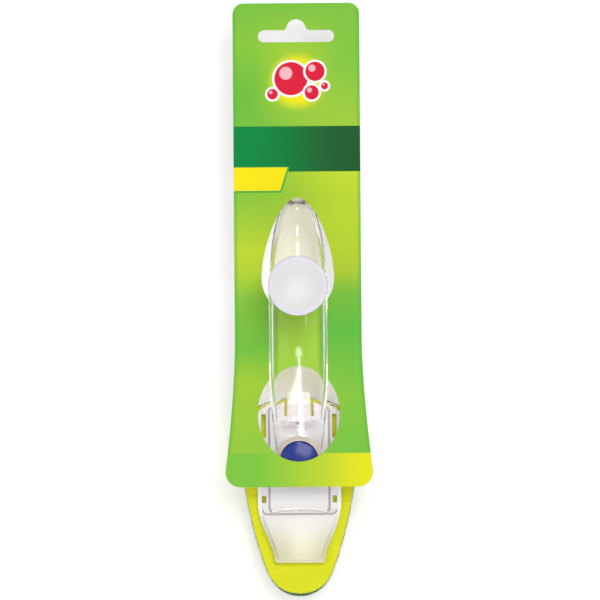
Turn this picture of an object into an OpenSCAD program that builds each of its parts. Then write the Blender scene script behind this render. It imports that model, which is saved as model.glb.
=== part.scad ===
// Dish wand: a clear handle filled with soap, a push valve, a slide-on sponge refill and the flat
// card that the wand hangs on.
// The wand lies on its scouring pad. +Z is up, +Y runs from the refill's tip to the card's hang slot,
// and the origin is under the middle of the whole.

/* [Refill] */
// Thickness of the scouring pad
pad_t = 5; // [3:0.5:8]
// How far the scouring pad shows past the sponge's tip
pad_over = 1.3; // [0.2:0.1:3]
// Thickness of the sponge
sponge_t = 15; // [10:0.5:24]
// Length of the sponge from its rear edge to its tip
sponge_l = 111.2; // [104:0.2:122]
// Width of the sponge at its widest
sponge_w = 64.6; // [58:0.2:76]
// Radius of the arc that the sponge's rear edge follows
rear_r = 49; // [42:1:80]
// Radius of the sponge's two rear corners
corner_r = 12; // [6:0.5:16]
// Distance from the tip at which the sponge starts to narrow
taper_at = 73; // [62:0.5:80]
// Distance from the tip at which the nose starts to round
nose_at = 12.5; // [10:0.5:18]
// Width of the sponge where the nose starts to round
nose_w = 37.2; // [30:0.2:44]

/* [Refill base] */
// Thickness of the white base plate
base_t = 2.5; // [1.5:0.1:4]
// Wall of each rail beside the flange
rail_w = 1.95; // [1.4:0.05:3]
// How far the base's rear edge stands in from the sponge's rear edge
base_inset = 2.2; // [1:0.1:5]
// Distance from the sponge's tip to the base's front edge
base_front = 17.7; // [14:0.1:24]
// Width of the base at its front edge
front_w = 28; // [22:0.2:34]
// Distance from the base's front edge at which it starts to narrow
narrow_at = 34.3; // [28:0.1:38]
// Radius of the base's front corners
base_front_r = 1.2; // [0.5:0.1:3]
// Radius of the base's rear corners
base_corner = 5; // [3:0.5:8]
// How far the base's side leans out where it meets the front corner
front_lean = 1.8; // [0:0.1:3]
// Flat rim that the ramp leaves free round the front of the base
ramp_rim = 1.9; // [1:0.1:3]
// Height of the ramp's front edge over the base plate
ramp_lip = 0.9; // [0.4:0.1:2]
// Length of each hooked rail
rail_l = 20; // [10:0.5:26]
// Distance from the plate's front end to the rails
rail_at = 16.4; // [12:0.2:24]
// Thickness of the hook over the flange
hook_t = 1.5; // [1:0.1:2.5]
// How far a hook reaches over the flange
hook_reach = 2; // [1:0.1:2.6]
// Width of the release tongue
tongue_w = 13.4; // [10:0.2:18]
// How far the tongue stands out behind the sponge
tongue_out = 2.7; // [0:0.1:5]
// Width of the slots beside the tongue
slot_w = 1.85; // [1:0.05:3]
// Length of the slots, measured from the base's rear edge
slot_l = 9.4; // [6:0.2:14]
// Width of the moulding windows under the flange
notch_w = 2.6; // [1.5:0.1:3.2]
// Length of the two short windows near the front
notch_front_l = 4; // [2:0.1:6]
// Length of the two long windows near the rear
notch_rear_l = 13; // [6:0.2:16]
// Distance from the plate's front end to the short windows
notch_front_at = 6.8; // [5:0.1:9]
// Distance from the base's rear edge to the long windows
notch_rear_at = 8; // [6:0.2:12]

/* [Head plate] */
// Width of the flange that the refill slides on
flange_w = 42.3; // [38:0.1:42.6]
// Thickness of the flange
flange_t = 2.5; // [1.5:0.1:4]
// Width of the flange beside its raised block, on each side
flange_rim = 3.65; // [3:0.05:5]
// Height of the raised block over the flange
block_t = 3.5; // [3.2:0.1:6]
// Length of the plate
plate_l = 62.4; // [58:0.2:66]
// Distance from the sponge's tip to the plate's front end
plate_front = 44.6; // [40:0.1:48]
// How far the block's front edge stands in from the flange's
block_inset = 1.4; // [0.6:0.1:3]
// Depth of the hollow curve in the block's front edge
block_bow = 1.4; // [0.4:0.1:2.4]
// Radius of the plate's upright corners
plate_corner = 3; // [1:0.5:5]

/* [Valve] */
// Distance from the plate's front end to the valve's axis
valve_at = 30.8; // [28:0.1:33]
// Diameter of the button
button_d = 20.8; // [16:0.2:22]
// How far the button travels
button_travel = 2; // [1:0.1:2.2]
// Width of the shoulder that holds the button in
shoulder_w = 0.9; // [0.6:0.1:1.2]
// Height of the shoulder
shoulder_h = 2.3; // [2.1:0.1:2.4]
// How far the button's crown stands over its ring
button_proud = 1.6; // [0.8:0.1:3]
// How deep the shoulder sits under the housing's top
shoulder_at = 2.5; // [2.3:0.1:2.6]
// Thickness of the button's seal ring
button_seal_d = 1.2; // [1:0.05:1.4]
// Wall of the button's skirt
skirt_wall = 1.8; // [1.6:0.1:2]
// Thickness of the button's top at the rim of its crown
button_top_t = 1; // [0.8:0.1:1.4]
// Rise of the button's crown
dome_rise = 1.9; // [0.8:0.1:2.6]
// Wall of the button's socket for the stem
socket_wall = 1.4; // [0.8:0.1:2]
// Wall of the housing round the button
boss_wall = 1.6; // [1.2:0.1:2.4]
// Height of the housing over the plate's block
boss_h = 2.6; // [2.4:0.1:5]
// Thickness of the ring's rim
ring_t = 1.2; // [0.8:0.1:2]
// Floor under the valve chamber
chamber_floor = 1.2; // [0.8:0.1:1.3]
// Diameter of the valve stem
stem_d = 2.4; // [1.8:0.1:3]
// Diameter of the outlet that the stem runs through
outlet_d = 4.4; // [4:0.1:5]
// Diameter of the poppet that closes the outlet
poppet_d = 8.4; // [7:0.1:9]
// Thickness of the poppet
poppet_t = 1; // [0.6:0.1:1.2]
// Thickness of the rubber seat
seat_t = 0.6; // [0.4:0.1:0.8]
// Thickness of the wall that carries the rubber seat
hub_t = 1.1; // [0.8:0.1:1.2]
// Wall round the poppet's pocket
hub_wall = 0.3; // [0.2:0.05:0.4]
// Height of the feed channel over the chamber's floor
feed_up = 1; // [0.6:0.1:1.2]
// Diameter of the feed hole from the handle
feed_d = 2.4; // [1.6:0.1:2.6]
// Mean diameter of the spring
spring_d = 14; // [13.4:0.1:14.4]
// Thickness of the spring's wire
wire_d = 0.9; // [0.6:0.1:1]
// Turns of the spring
spring_turns = 4; // [3:0.5:4.5]

/* [Handle] */
// Width of the handle at the grip
handle_w = 33; // [30:0.2:34]
// Depth of the handle at the grip
handle_d = 25.8; // [22:0.2:30]
// Wall of the handle's shells
wall = 2; // [1.4:0.1:2.4]
// Length of the neck, from the valve's side to the grip
neck_l = 47.6; // [44:0.2:54]
// Length of the straight grip, which the card's bridge passes under
grip_l = 30; // [28:0.2:36]
// Length of the tail, from the grip to the end
tail_l = 69; // [62:0.2:76]
// Width of the neck's front end
neck_w = 25; // [20:0.2:27]
// Height of the neck's front end
neck_h = 3.9; // [3:0.1:5]
// Length over which the handle's underside comes down to the plate
heel_l = 23; // [18:0.5:26]
// Height of the crown line at the tail's end, before the end is rounded
tail_top = 15.6; // [12:0.2:20]
// How far the underside's line would run under the floor, before the end is rounded
tail_sink = 6.7; // [0:0.1:6.7]
// Solid end of the tail behind the reservoir
tail_solid = 4.5; // [3:0.5:7]
// How far the neck's shells reach past the valve's axis
neck_hug = 5; // [3:0.5:7]
// Length over which the tail's end is rounded
tail_round = 10; // [8:0.5:14]
// Slit between the two shells
seam = 0.2; // [0.1:0.05:0.4]

/* [Filler] */
// Distance from the grip's tail end to the cap's centre
cap_at = 15.1; // [14:0.1:17]
// Bore of the filler mouth
mouth_d = 23; // [20:0.1:24]
// Wall of the filler's neck at its rim
mouth_wall = 2.1; // [1.4:0.1:2.4]
// Depth of the filler's bore
mouth_l = 9.5; // [8:0.1:11]
// Height of the filler's outer collar
collar_h = 12; // [11:0.5:13]
// How much wider the collar's foot is than its rim, on each side
collar_flare = 2.4; // [1:0.1:2.6]
// How far the rim stands over the grip's crown
mouth_h = 1.4; // [1:0.1:3]
// Diameter of the cap
cap_d = 33.6; // [32:0.2:36]
// Thickness of the cap's rim over the filler's rim
cap_t = 3; // [2.6:0.1:5]
// Width of the cap's raised rim
cap_rim = 2.4; // [1.4:0.1:4]
// Depth of the hollow in the cap's face
cap_dish = 1.2; // [0.4:0.1:1.4]
// Length of the cap's plug
plug_l = 7.5; // [6:0.1:8]
// Wall of the cap's plug
plug_wall = 2.2; // [1.9:0.1:3]
// Distance from the plug's end to the middle of its seal ring
seal_at = 2.4; // [1.6:0.1:4]
// Thickness of the plug's seal ring
seal_d = 1.3; // [1:0.05:1.4]
// Rounding of the cap's upper edge
cap_round = 1.2; // [0.4:0.1:1.4]

/* [Card] */
// Length of the card
card_l = 271; // [262:1:300]
// Width of the card's upper part
card_w = 71; // [60:0.5:80]
// Width of the card's foot
foot_w = 82.8; // [76:0.2:96]
// Thickness of the card
card_t = 0.5; // [0.4:0.1:1]
// Distance from the pad's tip to the card's lower edge
card_set = 61.6; // [59:0.2:66]
// Radius of the card's upper corners
card_top_r = 6; // [3:0.5:10]
// Radius of the card's lower corners
card_foot_r = 8.5; // [4:0.5:12]
// Length of the card's flared foot
flare_l = 82; // [70:1:90]
// Width of the round window for the head
low_window_w = 46; // [42:0.2:50]
// Length of the round window for the head
low_window_l = 53.8; // [50:0.2:56]
// Width of the drop-shaped window for the tail
drop_w = 40.6; // [38:0.2:44]
// Length of the drop-shaped window from its foot to its tip
drop_l = 64.7; // [60:0.1:66]
// Distance from the drop's foot to its widest place
drop_belly = 19.3; // [16:0.1:24]
// Width of the hang slot
hang_w = 42.6; // [34:0.2:50]
// Height of the hang slot's bar
hang_h = 6.7; // [5:0.1:9]
// Distance from the card's top edge to the slot's middle
hang_at = 18.5; // [16:0.1:26]
// Radius of the slot's hump
hump_r = 5.3; // [4:0.1:7]
// Height of the hump's centre over the slot's bar
hump_rise = 0.8; // [0:0.1:2]
// Radius of the hollow corners beside the hump
hump_fillet = 2.2; // [1:0.1:3]

/* [Fits] */
// Gap between pieces that move or rest on each other
clear = 0.3; // [0.2:0.05:0.4]
// Gap round a seal ring, a stem's socket and the ring's spigot
snug = 0.1; // [0.05:0.01:0.15]
// Gap between the button's crown and the card over it
card_clear = 0.5; // [0.3:0.1:1]

/* [Hidden] */
$fn = 64;
past = 1;

// Heights, from the floor up
z_sponge = pad_t;
z_base = z_sponge + sponge_t;
z_base_top = z_base + base_t;
z_plate = z_base_top + clear;
z_flange = z_plate + flange_t;
z_block = z_flange + block_t;
z_boss = z_block + boss_h;
z_ring = z_boss + ring_t;
z_button = z_ring + button_proud;
z_card = z_button + card_clear;
z_belly = z_card + card_t + clear;
z_crown = z_belly + handle_d;
z_seat = z_block + clear;
z_rim = z_crown + mouth_h;
z_cap = z_rim + clear;

// Widths of the base and the block, which follow the flange
base_w = flange_w + 2*clear + 2*rail_w;
block_w = flange_w - 2*flange_rim;

// Places along the wand
total_l = card_set + card_l;
y_pad_tip = -total_l/2;
y_tip = y_pad_tip + pad_over;
y_rear = y_tip + sponge_l;
y_base_front = y_tip + base_front;
y_base_rear = y_rear - base_inset;
y_plate = y_tip + plate_front;
y_plate_rear = y_plate + plate_l;
y_valve = y_plate + valve_at;
y_card_foot = y_pad_tip + card_set;
y_card_top = y_card_foot + card_l;

// Valve radii and heights
button_r = button_d/2;
shoulder_r = button_r + shoulder_w;
bore_r = shoulder_r + clear;
boss_r = bore_r + boss_wall;
z_chamber = z_plate + chamber_floor;
pocket_h = poppet_t + seat_t + 2*snug + clear;
z_poppet = z_plate + snug;
z_seat_ring = z_poppet + poppet_t + clear;
z_hub = z_plate + pocket_h + hub_t;
pocket_r = poppet_d/2 + 2*clear;
hub_r = pocket_r + hub_wall;
z_shoulder = z_boss - shoulder_at;
z_feed = z_chamber + feed_d/2 + feed_up;
y_feed = y_valve + boss_r + wall + feed_d;
z_ceiling = z_button - dome_rise - button_top_t;
skirt_r = button_r - skirt_wall;
socket_r = stem_d/2 + socket_wall;

// Places along the handle: the neck's end sits beside the valve's housing
y_neck = y_valve + neck_hug;
y_grip = y_neck + neck_l;
y_grip_end = y_grip + grip_l;
y_tail = y_grip_end + tail_l;
y_mid = (y_grip + y_grip_end)/2;
y_cap = y_grip_end + cap_at;
y_cavity = y_valve + boss_r + clear + wall;
y_cavity_end = y_tail - tail_solid;
z_neck_crown = z_seat + neck_h;
neck_power = 1.6;
crown_power = 2.75;
belly_power = 1.9;
plan_power = 2.6;
round_power = 2.3;
square_power = 3.5;
flare_power = 1.6;
arc_steps = 16;

// Handles of the curves along the sponge's sides, its nose and the drop-shaped window
side_pull = 10;
nose_pull = [8.1, 20.5];
nose_push = [3.2, 8];
tip_pull = 9;
drop_tip_pull = 0.47;
drop_side_pull = 18;
drop_foot_pull = 10;
drop_foot_w = 0.62;

function clamp01(v) = max(0, min(1, v));
function ease(v) = v*v*(3 - 2*v);
function mix(a, b, t) = a + (b - a)*t;
function signed_pow(v, e) = sign(v)*pow(abs(v), e);
function bezier(a, b, c, d, t) =
    pow(1 - t, 3)*a + 3*t*pow(1 - t, 2)*b + 3*t*t*(1 - t)*c + pow(t, 3)*d;
function bezier_points(a, b, c, d, n) = [for (i = [1:n]) bezier(a, b, c, d, i/n)];
function arc_points(centre, r, from, to, n) =
    [for (i = [0:n]) let (a = mix(from, to, i/n)) centre + r*[cos(a), sin(a)]];
function mirrored(half) = [for (i = [len(half) - 1:-1:0]) [-half[i][0], half[i][1]]];

// Crown line, underside and half width of the handle at a place along it
function crown_line(y) = y < y_mid
    ? z_crown - (z_crown - z_neck_crown)*pow((y_mid - y)/(y_mid - y_neck), neck_power)
    : z_crown - (z_crown - tail_top)*pow((y - y_mid)/(y_tail - y_mid), crown_power);
function belly_line(y) = y < y_grip
    ? mix(z_belly, z_seat, ease(clamp01((y_grip - y)/heel_l)))
    : z_belly - (z_belly + tail_sink)*pow(clamp01((y - y_grip_end)/tail_l), belly_power);
function half_width(y) = y < y_grip
    ? mix(handle_w, neck_w, pow((y_grip - y)/neck_l, 2))/2
    : handle_w/2*sqrt(1 - pow(clamp01((y - y_grip_end)/tail_l), plan_power));
function end_round(y) = sqrt(1 - pow(clamp01((y - y_tail + tail_round)/tail_round), 2));
function seam_line(y) = (crown_line(y) + belly_line(y))/2;
function half_depth(y) = (crown_line(y) - belly_line(y))/2*end_round(y);
function section_power(y, side) = side > 0 ? round_power
    : mix(round_power, square_power, ease(clamp01((y_grip - y)/heel_l)));

// One point of a shell's section: a is the angle from the +X side round to the -X side
function shell_point(y, side, inset, open, a) =
    let (e = 2/section_power(y, side),
        w = max(half_width(y) - inset, half_width(y)*0.3),
        h = open*max(half_depth(y) - inset - seam/2, 0.3))
    [w*signed_pow(cos(a), e), y, seam_line(y) + side*(seam/2 + h*pow(abs(sin(a)), e))];
function shell_ring(y, side, open) = concat(
    [for (j = [0:arc_steps]) shell_point(y, side, 0, 1, 180*j/arc_steps)],
    [for (j = [arc_steps:-1:0]) shell_point(y, side, wall, open, 180*j/arc_steps)]);

// Half of the hollow handle: the inner wall folds onto the seam where the handle is solid
module half_shell(side) {
    neck_rings = 3;
    cavity_rings = 27;
    tail_rings = 7;
    end_wall = 0.8;
    blunt = 0.1;
    rings = concat(
        [for (i = [0:neck_rings]) shell_ring(mix(y_neck, y_cavity, i/neck_rings), side, 0)],
        [for (i = [0:cavity_rings])
            shell_ring(mix(y_cavity + end_wall, y_cavity_end - end_wall, i/cavity_rings), side, 1)],
        [for (i = [0:tail_rings])
            shell_ring(mix(y_cavity_end, y_tail - blunt, sin(90*i/tail_rings)), side, 0)]);
    n = 2*(arc_steps + 1);
    last = len(rings) - 1;
    points = [for (ring = rings) for (p = ring) p];
    walls = [for (i = [0:last - 1]) for (k = [0:n - 1]) for (f = [0, 1])
        let (a = i*n + k, b = i*n + (k + 1)%n, c = b + n, d = a + n)
        f == 0 ? [a, b, c] : [a, c, d]];
    // The ends' triangles fan so that none has all its corners on the seam
    ends = [for (i = [0, last]) for (j = [0:arc_steps - 1]) for (f = [0, 1])
        let (a = i*n + j, b = a + 1, c = i*n + n - 2 - j, d = c + 1,
            pair = 2*j < arc_steps ? [[a, d, b], [b, d, c]] : [[a, d, c], [a, c, b]],
            tri = pair[f])
        i == 0 ? tri : [tri[0], tri[2], tri[1]]];
    faces = [for (f = concat(walls, ends)) side < 0 ? [f[0], f[2], f[1]] : f];
    polyhedron(points = points, faces = faces, convexity = 8);
}

module at_valve(z) {
    translate([0, y_valve, z]) children();
}

module tube(r, hole, h) {
    difference() {
        cylinder(r = r, h = h);
        translate([0, 0, -past]) cylinder(r = hole, h = h + 2*past);
    }
}

module seal_ring(outer_r, thick) {
    rotate_extrude() translate([outer_r - thick/2, 0]) circle(d = thick, $fn = 24);
}

module handle_upper_shell() color("#dfe6d8", 0.45) difference() {
    union() {
        half_shell(1);
        translate([0, y_cap, z_rim - collar_h])
            cylinder(r1 = mouth_d/2 + mouth_wall + collar_flare, r2 = mouth_d/2 + mouth_wall, h = collar_h);
    }
    translate([0, y_cap, z_rim - collar_h - past]) cylinder(d = mouth_d, h = collar_h + 2*past);
    translate([0, y_cap, z_rim - collar_h - past])
        cylinder(d = mouth_d + 2*mouth_wall, h = collar_h - mouth_l + past);
    at_valve(z_seat - past) cylinder(r = boss_r + clear, h = handle_d);
}

module handle_lower_shell() color("#dfe6d8", 0.45) difference() {
    half_shell(-1);
    at_valve(z_seat - past) cylinder(r = boss_r + clear, h = handle_d);
    translate([0, y_feed, z_seat - past]) cylinder(d = feed_d, h = wall + 2*past, $fn = 32);
}

// A plate's outline with round corners, whose front edge may be hollow by bow
module plate_outline(w, front, rear, bow) {
    r = plate_corner;
    half = concat(
        [for (i = [0:6]) [w/2 - r - (w/2 - r)*(1 - i/6), front + bow*(1 - pow(i/6, 2))]],
        arc_points([w/2 - r, front + r], r, -90, 0, 8),
        arc_points([w/2 - r, rear - r], r, 0, 90, 8));
    polygon(concat(half, mirrored(half)));
}

module head_plate() color("#e3e2ea", 0.5) difference() {
    union() {
        translate([0, 0, z_plate]) linear_extrude(flange_t)
            plate_outline(flange_w, y_plate, y_plate_rear, 0);
        translate([0, 0, z_plate]) linear_extrude(flange_t + block_t)
            plate_outline(block_w, y_plate + block_inset, y_plate_rear - block_inset, block_bow);
        at_valve(z_plate) cylinder(r = boss_r, h = z_boss - z_plate);
    }
    difference() {
        at_valve(z_chamber) cylinder(r = bore_r, h = z_boss - z_chamber + past);
        at_valve(z_chamber - past) cylinder(r = hub_r, h = z_hub - z_chamber + past);
    }
    at_valve(z_plate - past) cylinder(r = pocket_r, h = pocket_h + past);
    at_valve(z_plate) cylinder(d = outlet_d, h = z_hub - z_plate + past);
    translate([0, y_feed, z_feed]) cylinder(d = feed_d, h = z_block - z_feed + past, $fn = 32);
    translate([0, y_valve + bore_r - past, z_feed]) rotate([-90, 0, 0])
        cylinder(d = feed_d, h = y_feed - y_valve - bore_r + past, $fn = 32);
}

module valve_seat() color("#3a3a3c") at_valve(z_seat_ring)
    tube(pocket_r - snug, outlet_d/2 + snug, seat_t);

module valve_stem() color("#e9e9ec") union() {
    at_valve(z_poppet) cylinder(d = poppet_d, h = poppet_t);
    at_valve(z_poppet) cylinder(d = stem_d, h = z_ceiling - z_poppet - clear, $fn = 32);
}

// Spring wire: one tube along a helix, from the chamber's floor to the button's ceiling
module button_spring() color("#b9bcc0") {
    low = z_chamber + snug + wire_d/2;
    high = z_ceiling - snug - wire_d/2;
    steps = spring_turns*8;
    sides = 6;
    points = [for (i = [0:steps]) for (j = [0:sides - 1])
        let (a = 360*i/8, r = spring_d/2 + wire_d/2*cos(360*j/sides))
        [r*cos(a), y_valve + r*sin(a), mix(low, high, i/steps) + wire_d/2*sin(360*j/sides)]];
    walls = [for (i = [0:steps - 1]) for (j = [0:sides - 1]) for (f = [0, 1])
        let (a = i*sides + j, b = i*sides + (j + 1)%sides, c = b + sides, d = a + sides)
        f == 0 ? [a, b, c] : [a, c, d]];
    ends = [for (j = [1:sides - 2]) [[0, j + 1, j],
        [steps*sides, steps*sides + j, steps*sides + j + 1]]];
    caps = [for (pair = ends) for (f = pair) f];
    gap = (high - low)/spring_turns - wire_d;
    echo(least_gap_between_turns = gap);
    polyhedron(points = points, faces = concat(walls, caps));
}

module button_seal() color("#2b2c30")
    at_valve(z_shoulder - shoulder_h/2) seal_ring(bore_r - snug, button_seal_d);

module dispense_button() color("#2c46a8") difference() {
    dome_r = (button_r*button_r + dome_rise*dome_rise)/(2*dome_rise);
    groove_h = button_seal_d + 2*snug;
    union() {
        intersection() {
            at_valve(z_shoulder - shoulder_h) cylinder(r = button_r, h = z_button);
            at_valve(z_button - dome_r) sphere(r = dome_r, $fn = 128);
        }
        at_valve(z_shoulder - shoulder_h) cylinder(r = shoulder_r, h = shoulder_h);
    }
    difference() {
        at_valve(z_shoulder - shoulder_h - past)
            cylinder(r = skirt_r, h = z_ceiling - z_shoulder + shoulder_h + past);
        at_valve(z_hub + button_travel + clear) cylinder(r = socket_r, h = z_ceiling);
    }
    at_valve(z_hub) cylinder(d = stem_d + 2*snug, h = z_ceiling - z_hub, $fn = 32);
    at_valve(z_shoulder - shoulder_h/2 - groove_h/2)
        tube(shoulder_r + past, bore_r - snug - button_seal_d - snug, groove_h);
}

module button_ring() color("#d8cfc4", 0.6) at_valve(0) {
    hole = button_r + clear;
    spigot_l = z_boss - z_shoulder - clear;
    translate([0, 0, z_boss]) tube(boss_r, hole, ring_t);
    translate([0, 0, z_boss - spigot_l]) tube(bore_r - snug, hole, spigot_l);
}

// Cap: a round disc with a hollow face, a short skirt over the filler's rim and a plug inside it
module filler_cap() color("#efeff0") translate([0, y_cap, z_cap]) difference() {
    r = cap_d/2;
    edge_r = 0.6;
    skirt_l = mouth_h - snug;
    mouth_r = mouth_d/2 + mouth_wall + clear;
    plug_r = mouth_d/2 - clear;
    dish_r = r - cap_rim;
    sphere_r = (dish_r*dish_r + cap_dish*cap_dish)/(2*cap_dish);
    groove_y = -plug_l + seal_at;
    groove_h = seal_d/2 + snug;
    groove_r = mouth_d/2 - snug - seal_d - snug;
    rotate_extrude($fn = 96) polygon(concat(
        [[0, 0], [plug_r - plug_wall, 0], [plug_r - plug_wall, -plug_l], [plug_r - edge_r, -plug_l],
            [plug_r, -plug_l + edge_r],
            [plug_r, groove_y - groove_h], [groove_r, groove_y - groove_h],
            [groove_r, groove_y + groove_h], [plug_r, groove_y + groove_h],
            [plug_r, 0], [mouth_r, 0], [mouth_r, -skirt_l]],
        arc_points([r - edge_r, -skirt_l + edge_r], edge_r, -90, 0, 5),
        arc_points([r - cap_round, cap_t - cap_round], cap_round, 0, 90, 8),
        [[0, cap_t]]));
    translate([0, 0, cap_t - cap_dish + sphere_r]) sphere(r = sphere_r, $fn = 128);
}

module cap_seal() color("#4a4b50")
    translate([0, y_cap, z_cap - plug_l + seal_at]) seal_ring(mouth_d/2 - snug, seal_d);

// Right half of the base plate's outline, with its S-shaped run to the front edge
function base_half(inset, front) = let (w = base_w/2 - inset, f = front_w/2 - inset, r = base_front_r,
        rear_y = y_base_rear - inset, rear_circle = rear_r - base_inset - inset,
        corner = base_corner, cx = w - corner,
        cy = rear_y - rear_circle + sqrt(pow(rear_circle - corner, 2) - cx*cx),
        turn = acos(cx/(rear_circle - corner)))
    concat(
        arc_points([0, rear_y - rear_circle], rear_circle, 90, turn, 10),
        arc_points([cx, cy], corner, turn, 0, 6),
        [[w, front + narrow_at]],
        bezier_points([w, front + narrow_at], [w, front + narrow_at*0.62],
            [f + front_lean, front + narrow_at*0.39], [f, front + r], 14),
        arc_points([f - r, front + r], r, 0, -90, 4));

module base_outline(inset, front) {
    half = base_half(inset, front);
    polygon(concat(half, mirrored(half)));
}

module refill_base() color("#f4f4f0") difference() {
    rail_x = flange_w/2 + clear;
    rail_y = y_plate + rail_at;
    hook_z = z_flange + clear;
    ramp_y = y_plate - clear;
    ramp_h = z_block - z_base_top;
    ramp_l = ramp_y - y_base_front - ramp_rim;
    slot_x = tongue_w/2 + slot_w/2;
    tongue_end = y_rear + tongue_out;
    tongue_root = y_base_rear - slot_l/2;
    notch_x = flange_w/2 - notch_w/2 - snug;
    union() {
        translate([0, 0, z_base]) linear_extrude(base_t) base_outline(0, y_base_front);
        translate([-tongue_w/2, tongue_root, z_base])
            cube([tongue_w, tongue_end - tongue_root, base_t]);
        intersection() {
            translate([0, 0, z_base]) linear_extrude(base_t + ramp_h)
                base_outline(ramp_rim, y_base_front + ramp_rim);
            translate([-base_w/2, 0, 0]) rotate([90, 0, 90]) linear_extrude(base_w)
                polygon(concat([[ramp_y, z_base], [ramp_y, z_base_top + ramp_h]],
                    bezier_points([ramp_y, z_base_top + ramp_h],
                        [ramp_y - ramp_l*0.45, z_base_top + ramp_h],
                        [ramp_y - ramp_l*0.75, z_base_top + ramp_lip + ramp_h*0.2],
                        [ramp_y - ramp_l, z_base_top + ramp_lip], 12),
                    [[ramp_y - ramp_l, z_base]]));
        }
        for (side = [-1, 1]) {
            x = side > 0 ? rail_x : -base_w/2;
            translate([x, rail_y, z_base]) cube([base_w/2 - rail_x, rail_l, hook_z + hook_t - z_base]);
            hook_x = side > 0 ? rail_x - hook_reach : -base_w/2;
            translate([hook_x, rail_y, hook_z]) cube([base_w/2 - rail_x + hook_reach, rail_l, hook_t]);
        }
    }
    for (side = [-1, 1]) {
        translate([side*slot_x - slot_w/2, y_base_rear - slot_l, z_base - past])
            cube([slot_w, slot_l + base_inset + tongue_out + past, base_t + 2*past]);
        translate([side*notch_x - notch_w/2, y_plate + notch_front_at, z_base - past])
            cube([notch_w, notch_front_l, base_t + 2*past]);
        translate([side*notch_x - notch_w/2, y_base_rear - notch_rear_at - notch_rear_l, z_base - past])
            cube([notch_w, notch_rear_l, base_t + 2*past]);
    }
    at_valve(z_base - past) cylinder(r = pocket_r + clear, h = base_t + 2*past);
}

// Right half of the sponge's outline, from the rear edge to the tip, which may stand out by over
function sponge_half(over) = let (w = sponge_w/2, cx = w - corner_r,
        cy = y_rear - rear_r + sqrt(pow(rear_r - corner_r, 2) - cx*cx),
        turn = acos(cx/(rear_r - corner_r)), n = [nose_w/2, y_tip + nose_at])
    concat(
        arc_points([0, y_rear - rear_r], rear_r, 90, turn, 12),
        arc_points([cx, cy], corner_r, turn, 0, 10),
        [[w, y_tip + taper_at]],
        bezier_points([w, y_tip + taper_at], [w, y_tip + taper_at - side_pull], n + nose_pull, n, 16),
        bezier_points(n, n - nose_push, [tip_pull, y_tip - over], [0, y_tip - over], 10));

module sponge_outline(over) {
    half = sponge_half(over);
    polygon(concat(half, mirrored(half)));
}

module sponge() color("#dfe31f")
    translate([0, 0, z_sponge]) linear_extrude(sponge_t) sponge_outline(0);

module scour_pad() color("#2f6b3c")
    linear_extrude(pad_t) sponge_outline(pad_over);

module drop_window() {
    foot = y_grip_end - clear;
    belly = foot + drop_belly;
    w = drop_w/2;
    half = concat([[0, foot + drop_l]],
        bezier_points([0, foot + drop_l], [w*drop_tip_pull, foot + drop_l],
            [w, belly + drop_side_pull], [w, belly], 18),
        bezier_points([w, belly], [w, belly - drop_foot_pull], [w*drop_foot_w, foot], [0, foot], 14));
    polygon(concat(half, mirrored(half)));
}

module round_window() {
    middle = y_grip + clear - low_window_l/2;
    polygon([for (i = [0:59]) [low_window_w/2*cos(6*i), middle + low_window_l/2*sin(6*i)]]);
}

module hang_slot() {
    translate([0, y_card_top - hang_at]) {
        square([hang_w - hang_h, hang_h], center = true);
        for (side = [-1, 1]) translate([side*(hang_w - hang_h)/2, 0]) circle(d = hang_h);
        translate([0, hang_h/2 + hump_rise]) circle(r = hump_r);
        difference() {
            translate([-hump_r - hump_fillet, 0])
                square([2*(hump_r + hump_fillet), hang_h/2 + hump_fillet]);
            for (side = [-1, 1])
                translate([side*(hump_r + hump_fillet), hang_h/2 + hump_fillet]) circle(r = hump_fillet);
        }
    }
}

// Half width of the card: straight above, flared towards the foot
function card_half(y) =
    mix(card_w, foot_w, pow(clamp01((y_card_foot + flare_l - y)/(flare_l - card_foot_r)), flare_power))/2;

module hang_card() color("#9ccc3c") difference() {
    flare_top = y_card_foot + flare_l;
    foot = y_card_foot + card_foot_r;
    half = concat(
        arc_points([card_w/2 - card_top_r, y_card_top - card_top_r], card_top_r, 90, 0, 10),
        [for (i = [0:14]) let (y = mix(flare_top, foot, i/14)) [card_half(y), y]],
        arc_points([foot_w/2 - card_foot_r, foot], card_foot_r, 0, -90, 12));
    translate([0, 0, z_card]) linear_extrude(card_t) polygon(concat(half, mirrored(half)));
    translate([0, 0, z_card - past]) linear_extrude(card_t + 2*past) {
        drop_window();
        round_window();
        hang_slot();
    }
}

handle_upper_shell();
handle_lower_shell();
head_plate();
valve_seat();
valve_stem();
button_spring();
button_seal();
dispense_button();
button_ring();
filler_cap();
cap_seal();
refill_base();
sponge();
scour_pad();
hang_card();
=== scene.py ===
# %% [markdown]
# # A dish wand on its card
# The real object is a hollow, clear handle that is filled with soap. A button over the sponge lets the
# soap out, the sponge slides off when it is worn, and the wand hangs threaded through a flat card.
# The CAD model is the frame: it says where everything is. This script gives each piece its finish and
# models what plain CAD solids can't show: smooth clear shells, a porous sponge and a fibrous pad.

# %% Load the frame
import functools
import math

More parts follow.
